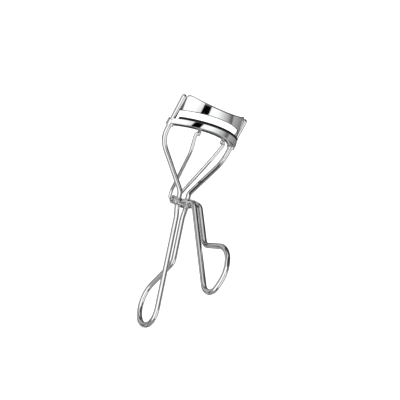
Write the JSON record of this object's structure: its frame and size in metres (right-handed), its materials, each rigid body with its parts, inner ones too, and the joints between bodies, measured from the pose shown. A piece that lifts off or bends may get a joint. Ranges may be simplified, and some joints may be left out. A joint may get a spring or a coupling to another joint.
{
  "type": "eyelash curler",
  "caption": "Wire eyelash curler: curved upper jaw on two guide posts, padded lower jaw that slides up them, driven by a finger-ring lever through a link wire.",
  "frame": {"origin": "centre of the bounding box at the lowest point of the frame's finger ring", "axes": "+Z along the guide posts, towards the upper jaw; +X across the jaws, along the fulcrum's axis; -Y towards the convex side of the jaws and the lever's finger ring"},
  "size_m": [0.04, 0.0699, 0.1029],
  "materials": {
    "frame_wire": "polished chrome plate on round steel wire",
    "upper_jaw": "polished chrome plate on pressed steel",
    "lower_jaw": "polished chrome plate on pressed steel",
    "slide_bush": "polished chrome plate",
    "link_ear": "polished chrome plate",
    "lash_pad": "smooth black silicone",
    "link_wire": "polished chrome plate on thin steel wire",
    "lever_wire": "polished chrome plate on round steel wire",
    "lever_arm": "chrome plate on pressed steel, slightly duller",
    "fulcrum_rivet": "chrome plate"
  },
  "bodies": {
    "frame": {"frame_wire": "frame_wire", "upper_jaw": "upper_jaw", "fulcrum_rivet": "fulcrum_rivet"},
    "lower_jaw": {"lower_jaw_channel": "lower_jaw", "slide_bush_left": "slide_bush", "slide_bush_right": "slide_bush", "link_ear_left": "link_ear", "link_ear_right": "link_ear", "lash_pad": "lash_pad"},
    "link": {"link_wire": "link_wire"},
    "lever": {"lever_wire": "lever_wire", "lever_arm": "lever_arm"}
  },
  "joints": [
    {"name": "lever_hinge", "type": "hinge", "parent": "frame", "child": "lever", "pos_m": [0, 0.02025, 0.05655], "axis": [1, 0, 0], "range_deg": [0, 24.63]},
    {"name": "lower_jaw_slide", "type": "slide", "parent": "frame", "child": "lower_jaw", "axis": [0, 0, 1], "range_m": [0, 0.00335]},
    {"name": "link_hinge", "type": "hinge", "parent": "lower_jaw", "child": "link", "pos_m": [0, 0.025, 0.08915], "axis": [1, 0, 0], "range_deg": [0, 0.3]}
  ],
  "couplings": [
    {"joint": "lower_jaw_slide", "follows": "lever_hinge", "m_per_rad": 0.007791},
    {"joint": "link_hinge", "follows": "lever_hinge", "ratio": 0.00954}
  ]
}
